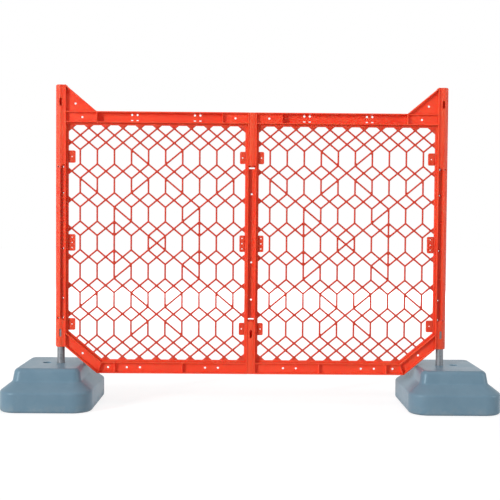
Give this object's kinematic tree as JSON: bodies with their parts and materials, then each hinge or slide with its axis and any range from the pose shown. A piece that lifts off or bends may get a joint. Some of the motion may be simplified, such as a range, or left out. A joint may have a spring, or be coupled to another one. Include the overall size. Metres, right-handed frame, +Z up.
{
  "type": "barrier_fence",
  "caption": "Free-standing barrier fence: an orange moulded mesh panel with channel rails and end posts that slips over steel poles standing in grey ballast bases.",
  "frame": {"origin": "on the ground, in the middle of the fence", "axes": "X along the fence to the right, -Y the front that the picture shows, +Z up"},
  "size_m": [2.223, 0.512, 1.4615],
  "materials": {
    "panel_orange": "satin",
    "galvanised": "satin",
    "base_grey": "satin",
    "ballast": "matte",
    "plug_black": "satin"
  },
  "bodies": {
    "panel": {"centre_post": "panel_orange", "left_post": "panel_orange", "right_post": "panel_orange", "top_rail_left": "panel_orange", "top_rail_right": "panel_orange", "bottom_rail_left": "panel_orange", "bottom_rail_right": "panel_orange", "left_brace": "panel_orange", "right_brace": "panel_orange", "left_gusset": "panel_orange", "right_gusset": "panel_orange", "left_mesh": "panel_orange", "right_mesh": "panel_orange", "left_post_lugs": "panel_orange", "right_post_lugs": "panel_orange", "centre_left_lugs": "panel_orange", "centre_right_lugs": "panel_orange"},
    "left_pole": {"left_pole": "galvanised"},
    "left_base": {"left_base": "base_grey", "left_ballast": "ballast"},
    "left_plug": {"left_filler_plug": "plug_black"},
    "right_pole": {"right_pole": "galvanised"},
    "right_base": {"right_base": "base_grey", "right_ballast": "ballast"},
    "right_plug": {"right_filler_plug": "plug_black"}
  },
  "joints": [
    {"name": "left_lift", "type": "slide", "parent": "panel", "child": "left_pole", "axis": [0, 0, -1], "range_m": [0, 0.12]},
    {"name": "left_swivel", "type": "hinge", "parent": "left_pole", "child": "left_base", "pos_m": [-0.875, 0, 0.1], "axis": [0, 0, 1], "range_deg": [-15, 15]},
    {"name": "left_plug_pull", "type": "slide", "parent": "left_base", "child": "left_plug", "axis": [0, 1, 0], "range_m": [0, 0.03]},
    {"name": "right_lift", "type": "slide", "parent": "panel", "child": "right_pole", "axis": [0, 0, -1], "range_m": [0, 0.12]},
    {"name": "right_swivel", "type": "hinge", "parent": "right_pole", "child": "right_base", "pos_m": [0.875, 0, 0.1], "axis": [0, 0, 1], "range_deg": [-15, 15]},
    {"name": "right_plug_pull", "type": "slide", "parent": "right_base", "child": "right_plug", "axis": [0, 1, 0], "range_m": [0, 0.03]}
  ],
  "couplings": [
    {"joint": "right_lift", "follows": "left_lift", "ratio": 1}
  ]
}
